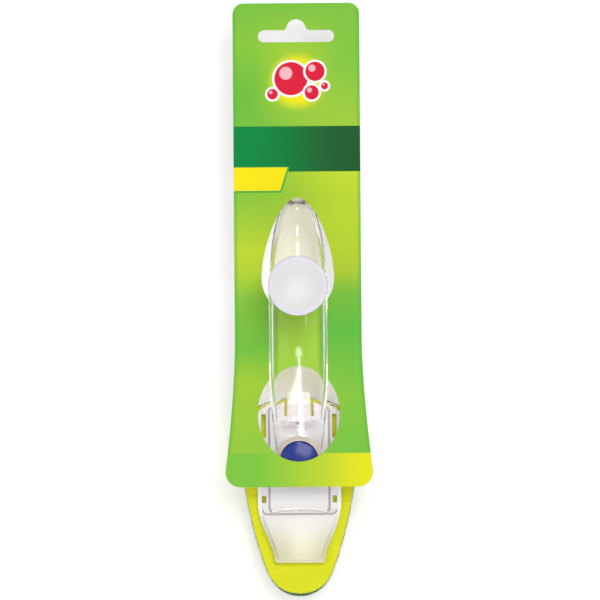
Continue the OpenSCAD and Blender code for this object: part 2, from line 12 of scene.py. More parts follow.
import bmesh
import bpy
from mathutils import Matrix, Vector


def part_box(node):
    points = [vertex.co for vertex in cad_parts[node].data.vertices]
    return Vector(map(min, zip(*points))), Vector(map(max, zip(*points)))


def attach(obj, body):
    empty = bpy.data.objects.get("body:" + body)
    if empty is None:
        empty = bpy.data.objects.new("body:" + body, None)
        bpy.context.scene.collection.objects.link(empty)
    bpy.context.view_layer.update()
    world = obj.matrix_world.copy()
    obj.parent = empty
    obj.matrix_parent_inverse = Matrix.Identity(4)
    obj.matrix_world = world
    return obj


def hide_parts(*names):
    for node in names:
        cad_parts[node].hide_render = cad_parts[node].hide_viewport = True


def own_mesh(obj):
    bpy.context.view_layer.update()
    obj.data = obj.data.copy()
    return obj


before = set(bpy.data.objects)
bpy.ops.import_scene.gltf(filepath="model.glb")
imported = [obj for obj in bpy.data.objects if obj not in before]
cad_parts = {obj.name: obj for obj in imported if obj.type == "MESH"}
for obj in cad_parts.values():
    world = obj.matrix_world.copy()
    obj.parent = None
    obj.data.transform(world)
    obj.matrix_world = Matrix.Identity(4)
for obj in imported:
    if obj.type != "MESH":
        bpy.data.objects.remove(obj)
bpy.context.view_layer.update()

MM = 0.001
SEED = 7

# %% [markdown]
# ## Helpers
# Colours are written as the hex values that a paint program shows, and Blender works in linear light,
# so one function converts them. One more adds a node: its values fill the inputs in order, `into`
# fills them by name or number, and the settings are its options. Where a node stands as a value, its
# first output in use is meant. Colours that lie over each other are painted in layers.

# %% Colours and nodes
MATH, VECTOR, RANGE = "ShaderNodeMath", "ShaderNodeVectorMath", "ShaderNodeMapRange"
NOISE, VORONOI, BUMP = "ShaderNodeTexNoise", "ShaderNodeTexVoronoi", "ShaderNodeBump"
JOIN, SPLIT, SURFACE = "ShaderNodeCombineXYZ", "ShaderNodeSeparateXYZ", "ShaderNodeBsdfPrincipled"


def linear(code, alpha=1.0):
    """A hex colour such as "dce020" as Blender's linear RGBA."""
    parts = [int(code[i:i + 2], 16) / 255 for i in (0, 2, 4)]
    return (*[p / 12.92 if p <= 0.04045 else ((p + 0.055) / 1.055) ** 2.4 for p in parts], alpha)


def add_node(tree, kind, *values, into=None, **settings):
    """Adds a node to a tree, sets its options and fills or links its inputs."""
    node = tree.nodes.new(kind)
    for name, value in settings.items():
        setattr(node, name, value)
    for key, value in [*enumerate(values), *(into or {}).items()]:
        if isinstance(value, bpy.types.Node):
            value = next(socket for socket in value.outputs if socket.enabled)
        if isinstance(value, bpy.types.NodeSocket):
            tree.links.new(value, node.inputs[key])
        else:
            node.inputs[key].default_value = value
    return node


def new_material(name):
    """An empty material, the function that adds nodes to it, and the object's own coordinates."""
    made = bpy.data.materials.new(name)
    made.use_nodes = True
    made.node_tree.nodes.clear()
    add = functools.partial(add_node, made.node_tree)
    return made, add, add("ShaderNodeTexCoord").outputs["Object"]


def layered(add, ground, *layers):
    """Paints layers over a ground colour, the first lowest: each is the share it covers and its colour."""
    mixed = linear(ground) if isinstance(ground, str) else ground
    for share, colour in layers:
        over = linear(colour) if isinstance(colour, str) else colour
        mixed = add("ShaderNodeMix", data_type="RGBA", into={0: share, 6: mixed, 7: over})
    return mixed


def placed(name, data):
    """A new object in the scene that holds the data."""
    made = bpy.data.objects.new(name, data)
    bpy.context.scene.collection.objects.link(made)
    return made


print("white is", linear("ffffff")[:3])

# %% [markdown]
# ## Sizes
# Heights and ends come from the CAD boxes. The handle's own driving sizes are repeated here in
# millimetres, because a box can't say how an arch curves between its ends.

# %% Places from the frame
def box_mm(node):
    """The lowest and highest corner of a CAD node, in millimetres."""
    low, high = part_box(node)
    return low / MM, high / MM


shell_low, shell_high = box_mm("handle_lower_shell")
button_low, button_high = box_mm("dispense_button")
plate_low, plate_high = box_mm("head_plate")
card_low, card_high = box_mm("hang_card")
cap_low, cap_high = box_mm("filler_cap")
spring_low, spring_high = box_mm("button_spring")

CLEAR, TIP_BLUNT = 0.3, 0.1
y_valve = (button_low.y + button_high.y) / 2
y_cap = (cap_low.y + cap_high.y) / 2
y_neck = shell_low.y
y_tail = shell_high.y + TIP_BLUNT
print("valve at y", round(y_valve, 1), "cap at y", round(y_cap, 1), "tail ends at y", round(y_tail, 1))

# %% The handle's driving sizes
HANDLE_W, HANDLE_D, WALL, SEAM = 33.0, 25.8, 2.0, 0.2
NECK_L, GRIP_L, TAIL_L, HEEL_L, TAIL_ROUND = 47.6, 30.0, 69.0, 23.0, 10.0
NECK_W, NECK_H, TAIL_TOP, TAIL_SINK, TAIL_SOLID = 25.0, 3.9, 15.6, 6.7, 4.5
NECK_HOLLOW_L, TAIL_HOLLOW_R = 9.0, 8.0
BOSS_H, BOSS_R, FEED_D = 2.6, 13.2, 2.4
MOUTH_D, MOUTH_WALL, MOUTH_L, MOUTH_H, COLLAR_H, COLLAR_FLARE = 23.0, 2.1, 9.5, 1.4, 12.0, 2.4
NECK_POWER, CROWN_POWER, BELLY_POWER, PLAN_POWER = 1.6, 2.75, 1.9, 2.6
ROUND_POWER, SQUARE_POWER = 2.3, 3.5

z_belly = card_high.z + CLEAR
z_crown = z_belly + HANDLE_D
z_seat = plate_high.z - BOSS_H + CLEAR
z_neck_crown = z_seat + NECK_H
z_rim = z_crown + MOUTH_H
y_grip = y_neck + NECK_L
y_grip_end = y_grip + GRIP_L
y_mid = (y_grip + y_grip_end) / 2
y_cavity = y_valve + BOSS_R + CLEAR + WALL
y_cavity_end = y_tail - TAIL_SOLID
y_feed = y_valve + BOSS_R + WALL + FEED_D
print("crown", round(z_crown, 1), "underside", round(z_belly, 1), "neck rests at", round(z_seat, 1))

# %% [markdown]
# ## The camera
# The photo looks straight down on the wand with almost no perspective, so a very long lens stands far
# away. One pixel of the 600-pixel frame is 0.56 mm at the card's height. The photographed wand leans
# by less than a degree, which a small roll of the camera repeats.

# %% Camera
MM_PER_PIXEL = 0.56
FRAME_PIXELS = 600
CENTRE_PIXEL_X = 298.0
LENS, SENSOR = 1500.0, 36.0
ROLL = math.radians(-0.45)

camera_data = bpy.data.cameras.new("camera")
camera_data.lens = LENS
camera_data.sensor_width = SENSOR
camera_height = FRAME_PIXELS * MM_PER_PIXEL * MM * LENS / SENSOR + card_high.z * MM
camera_data.clip_end = camera_height * 4
camera = placed("camera", camera_data)
camera.location = ((FRAME_PIXELS / 2 - CENTRE_PIXEL_X) * MM_PER_PIXEL * MM, 0, camera_height)
camera.rotation_euler = (0, 0, ROLL)
bpy.context.scene.camera = camera
bpy.context.scene.view_settings.view_transform = "Standard"
print("camera stands", round(camera_height, 2), "m up")

# %% [markdown]
# ## Light, floor and backdrop
# A product photo on white uses big soft lights. The key comes from the right and a little from above,
# so the card throws a short shadow on the sponge. A fill from the left opens that shadow, one from the
# foot lights the ramp, and one shines up as a light table does, onto the pad and the card's back.
# Narrow strips are only mirrored: they draw the bright lines on the crown, the tail and the button's
# dome, and light nothing. The world is pale, darker towards the horizon: clear plastic bends that rim
# into its edges, which is what draws their outline on a white ground. The floor can be seen through
# from below, so that the scouring pad can be looked at.

# %% World
HORIZON, HIGH_UP, WORLD_LIGHT = 0.12, 0.62, 0.5


def seen_white(add):
    """1 for rays of the camera, of a reflection or of a refraction, and 0 for the light on things."""
    path = add("ShaderNodeLightPath").outputs
    seen = add(MATH, path["Is Camera Ray"], path["Is Transmission Ray"], operation="MAXIMUM")
    return add(MATH, seen, path["Is Glossy Ray"], operation="MAXIMUM")


world = bpy.data.worlds.new("studio")
bpy.context.scene.world = world
world.use_nodes = True
world.node_tree.nodes.clear()
add = functools.partial(add_node, world.node_tree)
way = add("ShaderNodeTexCoord").outputs["Generated"]
steep = add(MATH, add(SPLIT, way).outputs["Z"], operation="ABSOLUTE")
rise = add(RANGE, steep, HORIZON, HIGH_UP, 0.0, 1.0)
seen = add("ShaderNodeLightPath").outputs["Is Camera Ray"]
sky = layered(add, "9a90a4", (rise, "ffffff"), (seen, "ffffff"))
bright = add(RANGE, seen_white(add), 0.0, 1.0, WORLD_LIGHT, 1.0)
add("ShaderNodeOutputWorld", add("ShaderNodeBackground", sky, bright))
print("world set")


# %% Lamps
def area_lamp(name, place, size, power, aim=(0, 0, 0.02), lights=True, mirrored=True):
    """A rectangular lamp at a place, in metres, that looks at aim, lights things, is mirrored, or both."""
    data = bpy.data.lights.new(name, "AREA")
    data.shape = "RECTANGLE"
    data.size, data.size_y = size
    data.energy = power
    lamp = placed(name, data)
    lamp.location = place
    lamp.rotation_euler = (Vector(aim) - Vector(place)).to_track_quat("-Z", "Y").to_euler()
    lamp.visible_camera = False
    lamp.visible_diffuse = lights
    lamp.visible_glossy = mirrored
    lamp.visible_transmission = mirrored


area_lamp("key", (0.36, 0.66, 1.6), (1.0, 1.0), 13.6)
area_lamp("fill", (-1.1, -0.3, 1.2), (1.2, 1.2), 4.0)
area_lamp("foot_fill", (0.1, -1.2, 0.8), (0.8, 0.8), 5.0, (0, -0.1, 0.02), mirrored=False)
area_lamp("table_glow", (0.0, -0.1, -1.2), (1.4, 1.4), 6.0, (0, -0.1, 0.0), mirrored=False)
area_lamp("neck_strip", (0.02, -0.6, 0.8), (0.05, 1.3), 11.0, (0, 0, 0.8), lights=False)
area_lamp("crest_strip", (0.02, -0.6, 1.6), (0.3, 0.7), 10.0, (0, 0, 1.6), lights=False)
area_lamp("tail_strip", (0.0, 0.9, 0.2), (0.05, 0.1), 0.5, (0, 0.03, 0.05), lights=False)
area_lamp("dome_strip", (0.0, 0.9, 0.75), (0.06, 0.7), 3.0, (0, -0.05, 0.04), lights=False)

# %% Floor
FLOOR_REACH, FLOOR_DROP, PAPER_GLOW = 4.0, 0.2 * MM, 0.3
around = ((-1, -1), (1, -1), (1, 1), (-1, 1))
floor_mesh = bpy.data.meshes.new("floor")
floor_mesh.from_pydata([(x * FLOOR_REACH, y * FLOOR_REACH, -FLOOR_DROP) for x, y in around], [],
                       [(0, 1, 2, 3)])
paper, add, _ = new_material("white_backdrop_paper")
matt = add("ShaderNodeBsdfDiffuse", linear("eeeeee"))
glow = add("ShaderNodeEmission", linear("ffffff"), PAPER_GLOW)
lifted = add("ShaderNodeAddShader", matt, glow)
upper_side = add("ShaderNodeMixShader", seen_white(add), matt, lifted)
below = add("ShaderNodeNewGeometry").outputs["Backfacing"]
both = add("ShaderNodeMixShader", below, upper_side, add("ShaderNodeBsdfTransparent"))
add("ShaderNodeOutputMaterial", both)
floor_mesh.materials.append(paper)
placed("floor", floor_mesh)
print("floor at", -FLOOR_DROP, "m")

# %% [markdown]
# ## Clear moulded plastic
# The handle and the head plate are polystyrene: hard, glass-clear and a little yellow where it is
# thick. Real refraction bends the card and the backdrop in its edges. Lamps have to reach what lies
# under it, so a shadow ray passes straight through, only tinted. A faint, long waviness is what a
# moulding tool leaves on such a surface. Where the surface turns away from the eye, the tint changes to
# a grey violet, and so it does on an edge's rounding, on the faces that the attribute `rounding` picks
# out: a painted edge shade, the dark outline of clear plastic. The thin neck is less yellow than the deep
# tail.

# %% Clear polystyrene
Y_THICK, Y_THIN = -42.0, -62.0
WAVE_MM = 14.0


def clear_styrene(name, tint, thin_tint, edge, rim, veil):
    """Clear plastic: thick and thin tints, a painted edge shade edge on and on a rounding, and a shadow
    tint.
    """
    made, add, place = new_material(name)
    wave = add(NOISE, into={"Vector": place, "Scale": 1 / (WAVE_MM * MM), "Detail": 1.0})
    bump = add(BUMP, into={"Strength": 0.12, "Distance": 0.25 * MM, "Height": wave})
    haze = add(RANGE, wave, 0.3, 0.7, 0.04, 0.08)
    # Painted edge shade: a grey violet tint where the plastic is seen edge on and on the faces named
    # rounding.
    facing = add("ShaderNodeLayerWeight", 0.5).outputs["Facing"]
    painted_edge_shade = add(RANGE, facing, 0.45, 0.95, 0.0, 0.8, interpolation_type="SMOOTHSTEP")
    along = add(SPLIT, place).outputs["Y"]
    thin = add(RANGE, along, Y_THICK * MM, Y_THIN * MM, 0.0, 1.0)
    rounded = add("ShaderNodeAttribute", attribute_name="rounding").outputs["Fac"]
    body = add(SURFACE, into={
        "Base Color": layered(add, tint, (thin, thin_tint), (painted_edge_shade, edge), (rounded, rim)),
        "Roughness": haze, "IOR": 1.5, "Transmission Weight": 1.0, "Specular Tint": linear("8c8c8c"),
        "Normal": bump})
    clear = add("ShaderNodeBsdfTransparent", linear(veil))
    path = add("ShaderNodeLightPath").outputs
    lamps = add(MATH, path["Is Shadow Ray"], path["Is Diffuse Ray"], operation="MAXIMUM")
    add("ShaderNodeOutputMaterial", add("ShaderNodeMixShader", lamps, body, clear))
    return made


# The third and fourth colours are painted edge shade: edge on and on a rounding.
clear_handle = clear_styrene("clear_polystyrene", "f9f8ec", "fcfafd", "bdb4c8", "bdb4c8", "fefefc")
clear_plate = clear_styrene("clear_polystyrene_plate", "fcfbfc", "fcfbfc", "9a8fa8", "94889f", "fefefe")
print("made", clear_handle.name, "and", clear_plate.name)

# %% [markdown]
# ## The handle's shape
# The handle is a spine with a width and a depth at each place, and an oval section that grows square
# over the heel. The spine is a row of points that carry those sizes. A Geometry Nodes tree lofts a
# half-round shell over them: the rule lives in the tree, and the sizes stay readable numbers. The
# alternative, a subdivided box pulled into shape, would drift away from the CAD shells.

# %% Profile of the handle
def clamp01(value):
    return max(0.0, min(1.0, value))


def ease(value):
    """A share that starts and ends softly."""
    return value * value * (3 - 2 * value)


def crown_line(y):
    """The height of the handle's crown at y."""
    if y < y_mid:
        return z_crown - (z_crown - z_neck_crown) * ((y_mid - y) / (y_mid - y_neck)) ** NECK_POWER
    return z_crown - (z_crown - TAIL_TOP) * ((y - y_mid) / (y_tail - y_mid)) ** CROWN_POWER


def belly_line(y):
    """The height of its underside."""
    if y < y_grip:
        return z_belly + (z_seat - z_belly) * ease(clamp01((y_grip - y) / HEEL_L))
    return z_belly - (z_belly + TAIL_SINK) * clamp01((y - y_grip_end) / TAIL_L) ** BELLY_POWER


def half_width(y):
    """Half its width, from the neck over the grip to the pointed tail."""
    if y < y_grip:
        return (HANDLE_W + (NECK_W - HANDLE_W) * ((y_grip - y) / NECK_L) ** 2) / 2
    return HANDLE_W / 2 * math.sqrt(1 - clamp01((y - y_grip_end) / TAIL_L) ** PLAN_POWER)


def half_depth(y):
    """Half its depth, rounded off at the tail's tip."""
    rounding = math.sqrt(1 - clamp01((y - y_tail + TAIL_ROUND) / TAIL_ROUND) ** 2)
    return (crown_line(y) - belly_line(y)) / 2 * rounding


def hollow_share(y):
    """1 where the shell is hollow, falling to 0 softly at the neck and in a quarter round at the tail."""
    neck = ease(clamp01((y - y_cavity) / NECK_HOLLOW_L))
    tail = clamp01((y_cavity_end - y) / TAIL_HOLLOW_R)
    return min(neck, math.sqrt(1 - (1 - tail) ** 2))


print("grip is", 2 * half_width(y_mid), "by", 2 * half_depth(y_mid), "mm")

# %% Spine points
STATIONS = 132
TIP_STATIONS = 26


def spine(side):
    """A row of points along the seam line that carries the section's sizes as attributes."""
    start = y_tail - TIP_BLUNT - TAIL_ROUND
    places = [y_neck + (start - y_neck) * i / STATIONS for i in range(STATIONS + 1)]
    places += [start + TAIL_ROUND * math.sin(math.pi / 2 * i / TIP_STATIONS)
               for i in range(1, TIP_STATIONS + 1)]
    rows = [(places[0], 0.0), *[(y, 1.0) for y in places], (places[-1], 0.0)]
    seam = [(crown_line(y) + belly_line(y)) / 2 * MM for y, _ in rows]
    mesh = bpy.data.meshes.new("handle_spine")
    mesh.from_pydata([(0, y * MM, z) for (y, _), z in zip(rows, seam)],
                     [(i, i + 1) for i in range(len(rows) - 1)], [])
    heel = [ease(clamp01((y_grip - y) / HEEL_L)) if side < 0 else 0.0 for y, _ in rows]
    facts = {
        "half_width": [half_width(y) * MM * shown for y, shown in rows],
        "half_depth": [half_depth(y) * MM * shown for y, shown in rows],
        "hollow": [hollow_share(y) * shown for y, shown in rows],
        "run": [y * MM for y, _ in rows],
        "seam": seam,
        "power": [ROUND_POWER + (SQUARE_POWER - ROUND_POWER) * h for h in heel],
    }
    for name, values in facts.items():
        mesh.attributes.new(name, "FLOAT", "POINT").data.foreach_set("value", values)
    return placed("spine", mesh)


print("stations:", STATIONS + TIP_STATIONS + 1)


# %% Helpers for the trees
def new_tree(name, *sizes):
    """A Geometry Nodes tree with geometry in and out, named number inputs and a material."""
    tree = bpy.data.node_groups.new(name, "GeometryNodeTree")
    kinds = {"Geometry": "Geometry", "Material": "Material", "Arc steps": "Int", "Seed": "Int"}
    for label in ("Geometry", *sizes, "Material"):
        kind = "NodeSocket" + kinds.get(label, "Float")
        tree.interface.new_socket(label, in_out="INPUT", socket_type=kind)
    tree.interface.new_socket("Geometry", in_out="OUTPUT", socket_type="NodeSocketGeometry")
    add = functools.partial(add_node, tree)
    return tree, add, add("NodeGroupInput").outputs


def finish_tree(add, shape, given):
    """Ends a tree as every one here ends: real geometry, smooth, with its material."""
    real = add("GeometryNodeRealizeInstances", shape)
    smooth = add("GeometryNodeSetShadeSmooth", real)
    add("NodeGroupOutput", add("GeometryNodeSetMaterial", smooth, into={"Material": given["Material"]}))


def plain_copy(source, name):
    """The object as its modifiers leave it, as a new object with a plain mesh; the source goes."""
    bpy.context.view_layer.update()
    mesh = bpy.data.meshes.new_from_object(source.evaluated_get(bpy.context.evaluated_depsgraph_get()))
    mesh.name = name
    bpy.data.objects.remove(source)
    return placed(name, mesh)


def grown(source, tree, name, material, **sizes):
    """Runs a tree on an object and returns the result as a plain mesh object."""
    step = source.modifiers.new(tree.name, "NODES")
    step.node_group = tree
    for socket in tree.interface.items_tree:
        if socket.item_type == "SOCKET" and socket.in_out == "INPUT":
            key = socket.name.lower().replace(" ", "_")
            if key in sizes:
                step[socket.identifier] = sizes[key]
            elif socket.name == "Material":
                step[socket.identifier] = material
    return plain_copy(source, name)


def face_out(mesh):
    """Turns every face outwards."""
    work = bmesh.new()
    work.from_mesh(mesh)
    bmesh.ops.recalc_face_normals(work, faces=work.faces)
    work.to_mesh(mesh)
    work.free()


print("tree helpers ready")

# %% [markdown]
# ## The loft
# Each ring of the shell is one station of the spine. Its columns run over the outside from one side to
# the other and back on the inside, an inset of one wall nearer to the axis, and the section is a
# superellipse whose power the spine carries. Where the spine says solid, the inside folds flat.

# %% Loft tree
LEAST_SHARE = 0.3
WELD = 0.002 * MM


def loft_tree():
    """Lofts a half-round shell over a spine: columns run over the outside and back inside."""
    tree, add, given = new_tree("lofted_half_shell", "Wall", "Slit", "Side", "Arc steps")
    spine_in, steps, slit = given["Geometry"], given["Arc steps"], given["Slit"]
    rings = add("GeometryNodeAttributeDomainSize", spine_in, component="MESH")
    loop = add(MATH, steps, 2.0, 2.0, operation="MULTIPLY_ADD")
    columns = add(MATH, loop, 1.0, operation="ADD")
    grid = add("GeometryNodeMeshGrid", 1.0, 1.0, rings, columns)
    spot = add(SPLIT, add("GeometryNodeInputPosition")).outputs
    along = add(MATH, spot["X"], 0.5, operation="ADD")
    last_ring = add(MATH, rings, 1.0, operation="SUBTRACT")
    ring = add(MATH, add(MATH, along, last_ring, operation="MULTIPLY"), operation="ROUND")
    across = add(MATH, spot["Y"], 0.5, operation="ADD")
    column = add(MATH, add(MATH, across, loop, operation="MULTIPLY"), operation="ROUND")
    turn = add(MATH, column, loop, operation="MODULO")
    behind = add(MATH, loop, 1.0, operation="SUBTRACT")
    back = add(MATH, behind, turn, operation="SUBTRACT")
    step = add(MATH, turn, back, operation="MINIMUM")
    share = add(MATH, step, steps, operation="DIVIDE")
    angle = add(MATH, share, math.pi, operation="MULTIPLY")
    inner = add(MATH, turn, steps, operation="GREATER_THAN")

    def carried(name):
        value = add("GeometryNodeInputNamedAttribute", name, data_type="FLOAT")
        return add("GeometryNodeSampleIndex", spine_in, value, into={"Index": ring})

    width, depth, hollow, power, run, seam = map(
        carried, ("half_width", "half_depth", "hollow", "power", "run", "seam"))
    exponent = add(MATH, 2.0, power, operation="DIVIDE")
    inset = add(MATH, given["Wall"], inner, operation="MULTIPLY")
    least = add(MATH, width, LEAST_SHARE, operation="MULTIPLY")
    reach_x = add(MATH, width, inset, operation="SUBTRACT")
    reach_x = add(MATH, reach_x, least, operation="MAXIMUM")
    taken = add(MATH, slit, inset, operation="ADD")
    reach_z = add(MATH, depth, taken, operation="SUBTRACT")
    reach_z = add(MATH, reach_z, 0.0, operation="MAXIMUM")
    solid = add(MATH, 1.0, hollow, operation="SUBTRACT")
    folded = add(MATH, solid, inner, operation="MULTIPLY")
    opened = add(MATH, 1.0, folded, operation="SUBTRACT")
    reach_z = add(MATH, reach_z, opened, operation="MULTIPLY")
    cosine = add(MATH, angle, operation="COSINE")
    way = add(MATH, cosine, operation="SIGN")
    cosine = add(MATH, cosine, operation="ABSOLUTE")
    cosine = add(MATH, cosine, exponent, operation="POWER")
    x = add(MATH, reach_x, cosine, operation="MULTIPLY")
    x = add(MATH, x, way, operation="MULTIPLY")
    sine = add(MATH, angle, operation="SINE")
    sine = add(MATH, sine, operation="ABSOLUTE")
    sine = add(MATH, sine, exponent, operation="POWER")
    rise = add(MATH, reach_z, sine, slit, operation="MULTIPLY_ADD")
    z = add(MATH, rise, given["Side"], seam, operation="MULTIPLY_ADD")
    lofted = add("GeometryNodeSetPosition", grid, into={"Position": add(JOIN, x, run, z)})
    closed = add("GeometryNodeMergeByDistance", lofted, into={"Distance": WELD})
    finish_tree(add, closed, given)
    return tree


LOFT = loft_tree()
print("loft tree:", len(LOFT.nodes), "nodes")

# %% [markdown]
# ## Cutting and joining the shells
# The upper shell carries the filler's collar, and both shells curve round the valve's housing. Plain
# round bodies cut them, as the moulding tool's cores would.

# %% Shells
def round_body(name, r_low, r_high, low, high, y, sides=128):
    """A cone or cylinder about a vertical axis at y, all in millimetres."""
    mesh = bpy.data.meshes.new(name)
    work = bmesh.new()
    bmesh.ops.create_cone(work, cap_ends=True, segments=sides, radius1=r_low * MM,
                          radius2=r_high * MM, depth=(high - low) * MM)
    bmesh.ops.translate(work, verts=work.verts, vec=(0, y * MM, (low + high) / 2 * MM))
    work.to_mesh(mesh)
    work.free()
    return placed(name, mesh)


def cut_or_join(piece, tool, operation):
    """Cuts a piece with a tool or joins them, and the tool goes."""
    step = piece.modifiers.new(tool.name, "BOOLEAN")
    step.operation = operation
    step.solver = "EXACT"
    step.object = tool
    name = piece.name
    piece.name = name + "_blank"
    made = plain_copy(piece, name)
    bpy.data.objects.remove(tool)
    return made


def dress(piece, body, material, node, sharp=32):
    """Gives a finished piece its material, its smooth shading, its body and the node it stands for."""
    mesh = piece.data
    mesh.materials.clear()
    mesh.materials.append(material)
    mesh.shade_smooth()
    mesh.set_sharp_from_angle(angle=math.radians(sharp))
    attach(piece, body)
    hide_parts(node)
    print(piece.name, len(mesh.polygons), "faces")


ARC_STEPS = 44
PAST = 1.0
for side, name in ((1, "clear_upper_shell"), (-1, "clear_lower_shell")):
    shell = grown(spine(side), LOFT, name, clear_handle, wall=WALL * MM, slit=SEAM / 2 * MM,
                  side=float(side), arc_steps=ARC_STEPS)
    face_out(shell.data)
    if side > 0:
        foot = z_rim - COLLAR_H
        rim_r = MOUTH_D / 2 + MOUTH_WALL
        collar = round_body("collar", rim_r + COLLAR_FLARE, rim_r, foot, z_rim, y_cap)
        shell = cut_or_join(shell, collar, "UNION")
        bore = round_body("bore", MOUTH_D / 2, MOUTH_D / 2, foot - PAST, z_rim + PAST, y_cap)
        shell = cut_or_join(shell, bore, "DIFFERENCE")
        under = round_body("under", rim_r, rim_r, foot - PAST, z_rim - MOUTH_L, y_cap)
        shell = cut_or_join(shell, under, "DIFFERENCE")
    hug = round_body("hug", BOSS_R + CLEAR, BOSS_R + CLEAR, z_seat - PAST, z_crown, y_valve)
    shell = cut_or_join(shell, hug, "DIFFERENCE")
    if side < 0:
        feed = round_body("feed", FEED_D / 2, FEED_D / 2, z_seat - PAST, z_seat + WALL + PAST, y_feed, 32)
        shell = cut_or_join(shell, feed, "DIFFERENCE")
    node = "handle_upper_shell" if side > 0 else "handle_lower_shell"
    dress(shell, "handle", clear_handle, node)

# %% [markdown]
# ## Moulded pieces with soft edges
# Injection moulding leaves no knife edge. For pieces whose CAD shape is right, a copy is merged, its
# flat faces are joined, and a bevel rounds every edge, so that each edge catches a thin line of light.
# On the clear head plate the edges of the two top faces are rounder. The block's long sides and the
# front lip are marked as well, so that the plastic's tint paints its grey violet edge shade on them.

# %% Rounded copies
EDGE_ANGLE = math.radians(40)


def merged_copy(node, name):
    """A CAD node's mesh as one closed surface, with its flat faces joined."""
    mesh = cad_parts[node].data.copy()
    mesh.name = name
    if "custom_normal" in mesh.attributes:
        mesh.attributes.remove(mesh.attributes["custom_normal"])
    work = bmesh.new()
    work.from_mesh(mesh)
    bmesh.ops.remove_doubles(work, verts=work.verts, dist=0.001 * MM)
    bmesh.ops.dissolve_limit(work, angle_limit=math.radians(0.5), verts=work.verts, edges=work.edges)
    bmesh.ops.recalc_face_normals(work, faces=work.faces)
    work.to_mesh(mesh)
    work.free()
    return mesh


def bevelled(mesh, name, radius, steps, **settings):
    """A mesh as an object, its edges rounded by radius millimetres."""
    blank = placed(name + "_blank", mesh)
    step = blank.modifiers.new("soft_edges", "BEVEL")
    step.width = radius * MM
    step.segments = steps
    for key, value in settings.items():
        setattr(step, key, value)
    return plain_copy(blank, name)


def rounded_copy(node, name, radius, body, material):
    """A copy of a CAD node with its edges rounded, standing for that node."""
    piece = bevelled(merged_copy(node, name), name, radius, 3, limit_method="ANGLE",
                     angle_limit=EDGE_ANGLE)
    dress(piece, body, material, node)


print("rounding ready")

# %% The head plate's edges
LIP_H, LIP_REACH, SIDE_X, SIDE_RISE = 2.5, 3.0, 15.5, 0.8
EDGE_R, BRIM_R, CREST_R = 0.3, 0.91, 1.4
NEAR, BORE_MARGIN = 0.1, 0.5
z_lip = plate_low.z + LIP_H
z_block = plate_high.z - BOSS_H


def edge_radius(edge):
    """How far an edge of the head plate is rounded: more round its two top faces, none at the bores."""
    middle = (edge.verts[0].co + edge.verts[1].co) / 2 / MM
    near_valve = math.hypot(middle.x, middle.y - y_valve) < BOSS_R + BORE_MARGIN
    near_feed = math.hypot(middle.x, middle.y - y_feed) < FEED_D
    if near_valve or near_feed or edge.calc_face_angle(0) <= EDGE_ANGLE:
        return 0.0
    if abs(middle.z - z_block) < NEAR:
        return CREST_R
    return BRIM_R if edge.is_convex and abs(middle.z - z_lip) < NEAR else EDGE_R


def gets_painted_outline(spot):
    """Whether a place, in millimetres, is on the head plate block's long sides or lip: painted edge shade
    there.
    """
    block_side = spot.z > z_lip + SIDE_RISE and abs(spot.x) > SIDE_X
    return block_side or (spot.z < z_lip + NEAR and spot.y < plate_low.y + LIP_REACH)


plate_mesh = merged_copy("head_plate", "clear_head_plate")
work = bmesh.new()
work.from_mesh(plate_mesh)
weight = work.edges.layers.float.new("bevel_weight_edge")
for edge in work.edges:
    edge[weight] = edge_radius(edge) / CREST_R
work.to_mesh(plate_mesh)
work.free()
# The bevel gives its own faces the second material slot, which only tells them apart.
for material in (clear_plate, clear_plate):
    plate_mesh.materials.append(material)
plate = bevelled(plate_mesh, "clear_head_plate", CREST_R, 5, limit_method="WEIGHT",
                 use_clamp_overlap=False, material=1)
# Painted edge shade: these bevel faces get the grey violet outline tint.
marks = [float(face.material_index and gets_painted_outline(face.center / MM)) for face in plate.data.polygons]
plate.data.attributes.new("rounding", "FLOAT", "FACE").data.foreach_set("value", marks)
plate.data.polygons.foreach_set("material_index", [0] * len(marks))
dress(plate, "handle", clear_plate, "head_plate", sharp=50)
print("faces marked as rounding:", int(sum(marks)))

# %% [markdown]
# ## White, blue and beige polypropylene
# Polypropylene is waxy: it shines softly, and light goes a little way in. The base is milky white, the
# button deep blue, and the cap is polyethylene. Painted shade makes the base greyer down its ramp and
# cream on its thin toe, and painted light makes the cap paler on a patch a little below its middle,
# with a lavender cast on its rim. A fine spark-eroded grain from the mould breaks the shine. It is
# finer than a pixel, so it is drawn at 0.4 mm.

# %% Polypropylene
CLOUD_MM, GRAIN_MM = 22.0, 0.4
Y_RAMP_TOP, Y_RAMP, Y_TOE = -113.0, -120.0, -143.0
PAINTED_LIGHT_SHIFT, PAINTED_LIGHT_MM, PAINTED_RIM_CAST_MM = -2.5, (2.0, 12.0), (13.6, 14.8)


def polypropylene(name, colour, shade, roughness, glow=0.0, shine=0.5, layers=None):
    """A waxy plastic, cloudy from shade to colour; layers makes the colours that lie over it."""
    made, add, place = new_material(name)
    cloud = add(NOISE, into={"Vector": place, "Scale": 1 / (CLOUD_MM * MM), "Detail": 2.0})
    grain = add(NOISE, into={"Vector": place, "Scale": 1 / (GRAIN_MM * MM), "Detail": 2.0})
    dull = add(RANGE, grain, 0.3, 0.7, roughness - 0.05, roughness + 0.07)
    bump = add(BUMP, into={"Strength": 0.1, "Distance": 0.03 * MM, "Height": grain})
    over = layers(add, add(SPLIT, place).outputs) if layers else ()
    body = add(SURFACE, into={
        "Base Color": layered(add, shade, (cloud, colour), *over), "Roughness": dull, "IOR": 1.49,
        "Specular IOR Level": shine, "Normal": bump, "Subsurface Weight": glow,
        "Subsurface Radius": (1.0, 0.95, 0.85), "Subsurface Scale": 1.2 * MM})
    add("ShaderNodeOutputMaterial", body)
    return made


